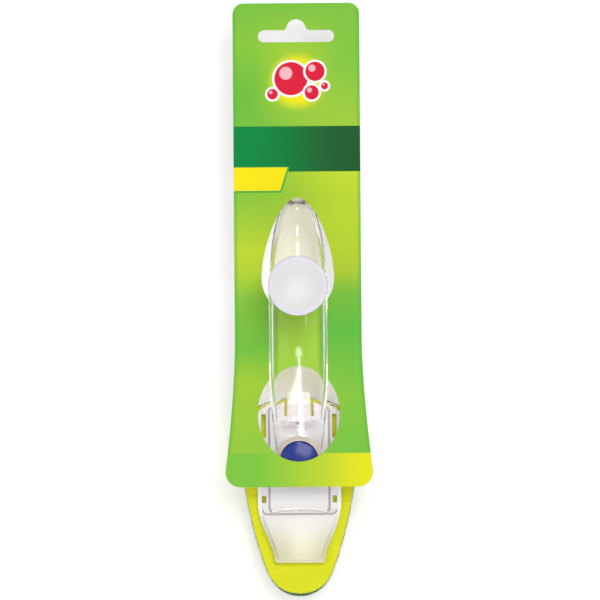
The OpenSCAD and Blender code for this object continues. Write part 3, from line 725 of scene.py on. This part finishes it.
def painted_ramp_shade(add, spot):
    """Painted shade: greyer down the base's ramp, and a cream shade on its thin toe."""
    ramp = add(RANGE, spot["Y"], Y_RAMP_TOP * MM, Y_RAMP * MM, 0.0, 1.0)
    painted_toe_shade = add(RANGE, spot["Y"], Y_RAMP * MM, Y_TOE * MM, 0.0, 1.0, interpolation_type="SMOOTHSTEP")
    return (ramp, "e9e7e1"), (painted_toe_shade, "d0cca6")


def painted_cap_light(add, spot):
    """Painted light: paler on a patch a little below the cap's middle, and lavender on its rim."""
    flat = add(JOIN, spot["X"], spot["Y"], 0.0)
    # Painted light: a pale patch a little below the cap's middle.
    web = add(VECTOR, flat, (0.0, (y_cap + PAINTED_LIGHT_SHIFT) * MM, 0.0), operation="DISTANCE")
    web = add(RANGE, web, PAINTED_LIGHT_MM[0] * MM, PAINTED_LIGHT_MM[1] * MM, 1.0, 0.0, interpolation_type="SMOOTHSTEP")
    rim = add(VECTOR, flat, (0.0, y_cap * MM, 0.0), operation="DISTANCE")
    # Painted light: a lavender cast on the rim.
    rim = add(RANGE, rim, PAINTED_RIM_CAST_MM[0] * MM, PAINTED_RIM_CAST_MM[1] * MM, 0.0, 1.0)
    return (web, "e6e6e5"), (rim, "dfdce5")


# The base's ramp and toe carry painted shade.
white_pp = polypropylene("white_polypropylene", "fbfaf8", "f8f7f5", 0.32, 0.15, 0.35, painted_ramp_shade)
# The cap carries painted light: a pale patch and a lavender rim.
cap_pe = polypropylene("cap_polyethylene", "dcdcdc", "d9d9da", 0.38, 0.15, 0.4, painted_cap_light)
blue_pp = polypropylene("blue_polypropylene", "1a3192", "142780", 0.2, shine=0.4)
ring_pp = polypropylene("beige_polypropylene", "cbbdae", "c1b2a0", 0.3, 0.1)

rounded_copy("refill_base", "white_refill_base", 0.3, "refill", white_pp)
rounded_copy("filler_cap", "dished_filler_cap", 0.25, "cap", cap_pe)
rounded_copy("dispense_button", "blue_dome_button", 0.3, "button", blue_pp)
rounded_copy("button_ring", "beige_button_ring", 0.3, "handle", ring_pp)
rounded_copy("valve_stem", "white_valve_stem", 0.15, "button", white_pp)

# %% [markdown]
# ## Rubber and spring wire
# Three small rubber parts seal the wand, and they keep their CAD shapes. Nitrile rubber is near black
# and never quite dull. The spring is one wire that follows a helix: a curve swept by Geometry Nodes.
# Drawn stainless wire is bright, with faint marks along it.

# %% Rubber
def redress(node, material):
    """Gives a CAD node that keeps its own mesh a procedural material."""
    for kept_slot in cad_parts[node].material_slots:
        kept_slot.material = material


rubber, add, place = new_material("nitrile_rubber")
bloom = add(NOISE, into={"Vector": place, "Scale": 1 / (3 * MM), "Detail": 3.0})
tone = layered(add, "1f2023", (bloom, "36373b"))
skin = add(SURFACE, into={"Base Color": tone, "Roughness": 0.52, "IOR": 1.52})
add("ShaderNodeOutputMaterial", skin)
for node in ("valve_seat", "button_seal", "cap_seal"):
    redress(node, rubber)
print("rubber on three seals")

# %% Spring
WIRE_D, SPRING_D, SPRING_TURNS, BUTTON_TRAVEL = 0.9, 14.0, 4.0, 2.0
TURN_STEPS, WIRE_SIDES = 28, 10

steel, add, place = new_material("drawn_stainless_wire")
streak = add(NOISE, into={"Vector": place, "Scale": 1 / (0.8 * MM), "Detail": 2.0})
dull = add(RANGE, streak, 0.3, 0.7, 0.18, 0.34)
skin = add(SURFACE, into={"Base Color": linear("b9bbbf"), "Metallic": 1.0, "Roughness": dull})
add("ShaderNodeOutputMaterial", skin)


def spring_tree():
    """Sweeps a round wire along a helix that stands on its foot."""
    tree, add, given = new_tree("wound_spring", "Turns", "Mean radius", "Height", "Wire radius",
                                "Foot Y", "Foot Z")
    helix = add("GeometryNodeCurveSpiral", into={
        "Resolution": TURN_STEPS, "Rotations": given["Turns"], "Start Radius": given["Mean radius"],
        "End Radius": given["Mean radius"], "Height": given["Height"]})
    wire = add("GeometryNodeCurvePrimitiveCircle",
               into={"Resolution": WIRE_SIDES, "Radius": given["Wire radius"]})
    tube = add("GeometryNodeCurveToMesh", helix, wire, into={"Fill Caps": True})
    foot = add(JOIN, 0.0, given["Foot Y"], given["Foot Z"])
    finish_tree(add, add("GeometryNodeTransform", tube, into={"Translation": foot}), given)
    return tree


spring_l = spring_high.z - spring_low.z
holder = placed("helix_holder", bpy.data.meshes.new("helix_holder"))
spring = grown(holder, spring_tree(), "wound_button_spring", steel, turns=SPRING_TURNS,
               mean_radius=SPRING_D / 2 * MM, height=(spring_l - WIRE_D) * MM,
               wire_radius=WIRE_D / 2 * MM, foot_y=y_valve * MM, foot_z=(spring_low.z + WIRE_D / 2) * MM)
face_out(spring.data)
spring.data.shade_smooth()
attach(spring, "handle")
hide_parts("button_spring")
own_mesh(spring)

# %% [markdown]
# ## Sponge
# The sponge is open-cell foam, cut from a block, so its faces are full of small pores, with a few
# larger ones. A fine remesh of the CAD block gives the surface enough points, and a Geometry Nodes
# tree sinks them where a Voronoi pattern has a cell's middle. The pores are real dents, so they also
# shade at the edges and in the mesh itself. The colour is darker in the pores, as painted shade.

# %% Pores
PORE_RIM = (0.12, 0.42)


def porous_tree():
    """Sinks a surface into round pores of two sizes."""
    tree, add, given = new_tree("open_pores", "Pore", "Depth", "Large pore", "Large depth")
    spot = add("GeometryNodeInputPosition")
    dents = []
    for size, depth in (("Pore", "Depth"), ("Large pore", "Large depth")):
        scale = add(MATH, 1.0, given[size], operation="DIVIDE")
        cells = add(VORONOI, into={"Vector": spot, "Scale": scale})
        hole = add(RANGE, cells, *PORE_RIM, 1.0, 0.0, interpolation_type="SMOOTHSTEP")
        dents.append(add(MATH, hole, given[depth], operation="MULTIPLY"))
    sunk = add(MATH, *dents, operation="ADD")
    inwards = add(MATH, sunk, -1.0, operation="MULTIPLY")
    shift = add(VECTOR, add("GeometryNodeInputNormal"), operation="SCALE", into={"Scale": inwards})
    finish_tree(add, add("GeometryNodeSetPosition", given["Geometry"], into={"Offset": shift}), given)
    return tree


def remeshed(node, name, voxel, round_r, shrink):
    """A CAD block with rounded edges, in even quads of voxel millimetres, drawn in by shrink."""
    blank = placed(name, merged_copy(node, name))
    bevel = blank.modifiers.new("cut_edges", "BEVEL")
    bevel.width, bevel.segments = round_r * MM, 3
    bevel.limit_method, bevel.angle_limit = "ANGLE", math.radians(50)
    remesh = blank.modifiers.new("even_quads", "REMESH")
    remesh.mode, remesh.voxel_size = "VOXEL", voxel * MM
    pull = blank.modifiers.new("shrink", "DISPLACE")
    pull.strength, pull.mid_level = -shrink * MM, 0.0
    return plain_copy(blank, name + "_even")


PORE_MM, MOTTLE_MM, FUZZ_MM, PORE_SHADE = 1.5, 18.0, 0.35, 0.35
foam, add, place = new_material("cellulose_foam")
pore = add(VORONOI, into={"Vector": place, "Scale": 1 / (PORE_MM * MM)})
# Painted shade: the foam is darker in its pores.
hollow = add(MATH, add(RANGE, pore, 0.05, 0.35, 1.0, 0.0), PORE_SHADE, operation="MULTIPLY")
mottle = add(NOISE, into={"Vector": place, "Scale": 1 / (MOTTLE_MM * MM), "Detail": 3.0})
fuzz = add(NOISE, into={"Vector": place, "Scale": 1 / (FUZZ_MM * MM), "Detail": 3.0})
skin = add(SURFACE, into={
    "Base Color": layered(add, "d8dc18", (mottle, "e2e420"), (hollow, "c4c80e")), "Roughness": 0.95,
    "IOR": 1.4, "Specular IOR Level": 0.2, "Sheen Weight": 0.15, "Sheen Roughness": 0.6,
    "Normal": add(BUMP, into={"Strength": 0.5, "Distance": 0.12 * MM, "Height": fuzz})})
add("ShaderNodeOutputMaterial", skin)

even = remeshed("sponge", "sponge_block", voxel=0.62, round_r=1.2, shrink=0.4)
foam_block = grown(even, porous_tree(), "yellow_sponge", foam, pore=1.9 * MM, depth=0.32 * MM,
                   large_pore=7.0 * MM, large_depth=0.5 * MM)
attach(foam_block, "refill")
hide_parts("sponge")
print("sponge faces:", len(foam_block.data.polygons))

# %% [markdown]
# ## Scouring pad
# The green pad is a non-woven web: stiff nylon fibres, crimped, laid at random and glued with grit.
# One fibre is a short bent wire. Geometry Nodes scatter it over the pad's faces, lying nearly level,
# with its heading and size drawn from a fixed seed. A fibre that would stick out is drawn back to
# the pad, so the web ends at a clean cut edge, as the real one does. The grit is finer than a pixel
# and is drawn at 0.25 mm.

# %% Fibres
BOW_SHARE, LEVEL, LEAST_SIZE, MOST_SIZE = 0.22, (1.0, 1.0, 0.2), 0.6, 1.2


def fibre_tree():
    """Lays bent fibres over a block's faces and draws their loose ends back to it."""
    tree, add, given = new_tree("laid_fibres", "Fibres per square metre", "Length", "Thickness", "Loft",
                                "Seed")
    block, seed = given["Geometry"], given["Seed"]
    points = add("GeometryNodeDistributePointsOnFaces", block,
                 into={"Density": given["Fibres per square metre"], "Seed": seed})
    half = add(MATH, given["Length"], 0.5, operation="MULTIPLY")
    back = add(MATH, half, -1.0, operation="MULTIPLY")
    bow = add(MATH, given["Length"], BOW_SHARE, operation="MULTIPLY")
    bend = add("GeometryNodeCurveQuadraticBezier", 5, add(JOIN, back, 0.0, 0.0),
               add(JOIN, 0.0, bow, 0.0), add(JOIN, half, 0.0, 0.0))
    thick = add(MATH, given["Thickness"], 0.5, operation="MULTIPLY")
    ring = add("GeometryNodeCurvePrimitiveCircle", into={"Resolution": 3, "Radius": thick})
    strand = add("GeometryNodeCurveToMesh", bend, ring, into={"Fill Caps": True})
    heading = add("FunctionNodeRandomValue", data_type="FLOAT_VECTOR",
                  into={0: (-1, -1, -1), 1: (1, 1, 1), "Seed": seed})
    across = add(VECTOR, points.outputs["Normal"], heading, operation="CROSS_PRODUCT")
    level = add(VECTOR, across, LEVEL, operation="MULTIPLY")
    lie = add("FunctionNodeAlignRotationToVector", into={"Vector": level}, axis="X")
    size = add("FunctionNodeRandomValue", data_type="FLOAT",
               into={2: LEAST_SIZE, 3: MOST_SIZE, "ID": add("GeometryNodeInputIndex"), "Seed": seed})
    laid = add("GeometryNodeInstanceOnPoints", points,
               into={"Instance": strand, "Rotation": lie, "Scale": size})
    loose = add("GeometryNodeRealizeInstances", laid)
    nearest = add("GeometryNodeProximity", block, target_element="FACES").outputs
    off = add(VECTOR, add("GeometryNodeInputPosition"), nearest["Position"], operation="SUBTRACT")
    ratio = add(MATH, given["Loft"], nearest["Distance"], operation="DIVIDE")
    ratio = add(MATH, ratio, 1.0, operation="MINIMUM")
    held = add(VECTOR, off, operation="SCALE", into={"Scale": ratio})
    held = add(VECTOR, nearest["Position"], held, operation="ADD")
    felted = add("GeometryNodeSetPosition", loose, into={"Position": held})
    whole = add("GeometryNodeJoinGeometry", block)
    tree.links.new(felted.outputs[0], whole.inputs[0])
    finish_tree(add, whole, given)
    return tree


STRAND_MM, GRIT_MM, FIBRES = 1.6, 0.25, 4200
web, add, place = new_material("nylon_scouring_web")
strand_tone = add(NOISE, into={"Vector": place, "Scale": 1 / (STRAND_MM * MM), "Detail": 3.0})
spread = add(RANGE, strand_tone, 0.35, 0.65, 0.0, 1.0)
grit = add(NOISE, into={"Vector": place, "Scale": 1 / (GRIT_MM * MM), "Detail": 2.0})
bump = add(BUMP, into={"Strength": 0.6, "Distance": 0.1 * MM, "Height": grit})
tone = layered(add, "1d5a2f", (spread, "3a8a4c"))
skin = add(SURFACE, into={"Base Color": tone, "Roughness": 0.7, "IOR": 1.53, "Normal": bump})
add("ShaderNodeOutputMaterial", skin)

block = remeshed("scour_pad", "pad_block", voxel=1.0, round_r=0.4, shrink=0.26)
area = sum(face.area for face in block.data.polygons)
pad = grown(block, fibre_tree(), "green_scouring_pad", web, length=5.5 * MM, thickness=0.26 * MM,
            loft=0.25 * MM, fibres_per_square_metre=FIBRES / area, seed=SEED)
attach(pad, "refill")
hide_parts("scour_pad")
print("pad faces:", len(pad.data.polygons), "area cm2", round(area * 1e4))

# %% [markdown]
# ## Printed card
# The card is coated board, printed on its upper side and plain grey-white on its edges and back. The
# CAD solid is already right, so only its finish is made. Green fields change softly from lime to leaf
# green: one ramp of colours runs down each side, and the two blend across the card.

# %% The print's soft green fields
def overlap(add, first, *others):
    """Where shares overlap: their product."""
    for other in others:
        first = add(MATH, first, other, operation="MULTIPLY")
    return first


# Millimetres below the card's top edge, and the colour there.
LEFT_FIELD = (
    (2.8, "7ac13f"), (22.4, "88c63c"), (50.4, "6fbe3e"), (67.2, "74bf40"), (95.2, "8fc63f"),
    (106.4, "86c53c"), (120.4, "a0cc3a"), (140.0, "bfd730"), (152.3, "b0d235"), (165.8, "86c53e"),
    (193.2, "72be40"), (211.7, "a0cb38"), (246.4, "96c83c"))
RIGHT_FIELD = (
    (2.8, "7fc241"), (33.6, "84c540"), (64.4, "9ccb3c"), (95.2, "c2dc2e"), (109.2, "b8d533"),
    (137.2, "b8d533"), (150.1, "b2d235"), (162.4, "7cc240"), (182.0, "60bc42"), (221.2, "86c540"),
    (246.4, "79c242"))
# A glow high on the card, and a lime stretch low on it, under the handle, that is painted light there:
# how far aside each fades, in millimetres, over which shares of the card's length it rises and falls,
# and its most.
BLEND_X = 32.0
GLOW_FIELD = (6.0, 28.0, (0.74, 0.80), (0.90, 0.99), 0.5)
PAINTED_LIGHT_FIELD = (11.0, 17.0, (0.16, 0.24), (0.36, 0.42), 1.0)

board, add, place = new_material("coated_board_print")
spot = add(SPLIT, place).outputs
aside = add(MATH, spot["X"], operation="ABSOLUTE")
up_card = add(RANGE, spot["Y"], card_low.y * MM, card_high.y * MM, 0.0, 1.0)
over_card = add(RANGE, spot["X"], -BLEND_X * MM, BLEND_X * MM, 0.0, 1.0,
                interpolation_type="SMOOTHSTEP")
fields = []
for stops in (LEFT_FIELD, RIGHT_FIELD):
    ramp = add("ShaderNodeValToRGB", up_card)
    line = ramp.color_ramp.elements
    first, *inner, last = sorted((1 - depth / (card_high.y - card_low.y), code) for depth, code in stops)
    for end, (position, code) in zip((line[0], line[1]), (first, last)):
        end.position, end.color = position, linear(code)
    for position, code in inner:
        line.new(position).color = linear(code)
    fields.append(ramp)

shares = []
for near, far, rise, fall, most in (GLOW_FIELD, PAINTED_LIGHT_FIELD):
    middle = add(RANGE, aside, near * MM, far * MM, most, 0.0, interpolation_type="SMOOTHSTEP")
    up = add(RANGE, up_card, *rise, 0.0, 1.0)
    down = add(RANGE, up_card, *fall, 1.0, 0.0)
    shares.append(overlap(add, middle, up, down))
# Painted light: the card is brighter lime under the handle.
field = layered(add, fields[0], (over_card, fields[1]), (shares[0], "b2d236"), (shares[1], "a6dc38"))
print("fields blended from", len(LEFT_FIELD), "and", len(RIGHT_FIELD), "colours")

# %% [markdown]
# The card's long sides are darker, along the same flared outline as the CAD's. A plain dark band, a
# plain yellow tab with a slanted end and a lighter foot band cross the fields.

# %% Edges, band, tab and foot
CARD_W, FOOT_W, FLARE_L, FOOT_R, FLARE_POWER = 71.0, 82.8, 82.0, 8.5, 1.6
BAND_Y, TAB_Y, FOOT_Y = (71.8, 97.5), (61.2, 74.5), (-140.0, -85.7)
TAB_X, TAB_SLANT, TAB_LINE, TAB_LINE_TOP = (-90.0, -29.0), -0.32, 1.1, 0.22
RIM_X, RIM_MOST, FOOT_X = (0.8, 2.4), 0.55, (12.0, 40.0)
SOFT = 0.25


def between(add, value, low, high):
    """1 where value lies between low and high millimetres, with a narrow soft edge."""
    rise = add(RANGE, value, low * MM, (low + SOFT) * MM, 0.0, 1.0)
    fall = add(RANGE, value, (high - SOFT) * MM, high * MM, 1.0, 0.0)
    return overlap(add, rise, fall)


flare_top = card_low.y + FLARE_L
flared = add(RANGE, spot["Y"], flare_top * MM, (card_low.y + FOOT_R) * MM, 0.0, 1.0)
flared = add(MATH, flared, FLARE_POWER, operation="POWER")
half = add(MATH, flared, (FOOT_W - CARD_W) / 2 * MM, CARD_W / 2 * MM, operation="MULTIPLY_ADD")
rim = add(MATH, half, aside, operation="SUBTRACT")
rim_share = add(RANGE, rim, RIM_X[0] * MM, RIM_X[1] * MM, RIM_MOST, 0.0)
band = between(add, spot["Y"], *BAND_Y)
band_colour = layered(add, "048a42", (over_card, "1b5a2b"))
field = layered(add, field, (rim_share, "52b540"), (band, band_colour))

slant = add(MATH, spot["Y"], TAB_SLANT, spot["X"], operation="MULTIPLY_ADD")
for grow, grow_top, colour in ((TAB_LINE, TAB_LINE_TOP, "4fae4c"), (0.0, 0.0, "fae712")):
    tab = between(add, spot["Y"], TAB_Y[0] - grow, TAB_Y[1] + grow_top)
    end = between(add, slant, TAB_X[0], TAB_X[1] + grow)
    field = layered(add, field, (overlap(add, tab, end), colour))

foot_far = add(RANGE, spot["X"], FOOT_X[0] * MM, FOOT_X[1] * MM, 0.0, 1.0,
               interpolation_type="SMOOTHSTEP")
foot_colour = layered(add, "7cc440", (over_card, "c8da2e"), (foot_far, "e6e41c"))
foot = between(add, spot["Y"], *FOOT_Y)
print("band from y", BAND_Y[0], "to", BAND_Y[1])

# %% [markdown]
# Over the band lies a plain motif of five soap bubbles on a yellow glow: each bubble is a disc with a
# white rim and a pale glint. Nothing is lettered. The foot band comes last.

# %% Bubbles
# The glow's x, y, radius and soft rim, and each bubble's x, y and radius, in millimetres.
GLOW = (0.5, 122.5, 18.0, 8.0)
BUBBLES = ((-3.0, 124.0, 9.5), (10.5, 128.0, 5.6), (8.6, 116.2, 4.2), (-13.4, 115.4, 3.2),
           (15.8, 119.8, 2.2))
WHITE_RIM, RIM_SOFT, BALL_SOFT, GLINT_SOFT = 1.2, 0.5, 0.4, 0.8
GLINT_X, GLINT_Y, GLINT_R = -0.3, 0.32, 0.42
flat = add(JOIN, spot["X"], spot["Y"], 0.0)


def disc(add, flat, x, y, radius, soft):
    """1 inside a round spot of the print, fading over soft millimetres at its rim."""
    way = add(VECTOR, flat, (x * MM, y * MM, 0.0), operation="DISTANCE")
    return add(RANGE, way, (radius - soft) * MM, radius * MM, 1.0, 0.0, interpolation_type="SMOOTHSTEP")


field = layered(add, field, (disc(add, flat, *GLOW), "f4ea1a"))
for x, y, radius in BUBBLES:
    rim = disc(add, flat, x, y, radius + WHITE_RIM, RIM_SOFT)
    ball = disc(add, flat, x, y, radius, BALL_SOFT)
    glint = disc(add, flat, x + radius * GLINT_X, y + radius * GLINT_Y, radius * GLINT_R, GLINT_SOFT)
    field = layered(add, field, (rim, "ffffff"), (ball, "dd1f3c"), (glint, "f8b9c4"))
field = layered(add, field, (foot, foot_colour))
print("bubbles:", len(BUBBLES))

# %% [markdown]
# The coat is smooth and half shiny, with a faint tooth of the board under it. Only what faces up is
# printed: the back and the cut edges show the grey-white pulp.

# %% Board
PULP_MM, TOOTH_MM, COAT_T = 1.2, 0.5, 0.06
front = add(MATH, spot["Z"], (card_high.z - COAT_T) * MM, operation="GREATER_THAN")
pulp = add(NOISE, into={"Vector": place, "Scale": 1 / (PULP_MM * MM), "Detail": 4.0})
whole = layered(add, "e4e1da", (pulp, "f3f1eb"), (front, field))
tooth = add(NOISE, into={"Vector": place, "Scale": 1 / (TOOTH_MM * MM), "Detail": 3.0})
coat = add(RANGE, tooth, 0.3, 0.7, 0.34, 0.46)
bump = add(BUMP, into={"Strength": 0.15, "Distance": 0.02 * MM, "Height": tooth})
skin = add(SURFACE, into={"Base Color": whole, "Roughness": coat, "IOR": 1.45,
                          "Specular IOR Level": 0.08, "Normal": bump})
add("ShaderNodeOutputMaterial", skin)
redress("hang_card", board)
print("card printed")
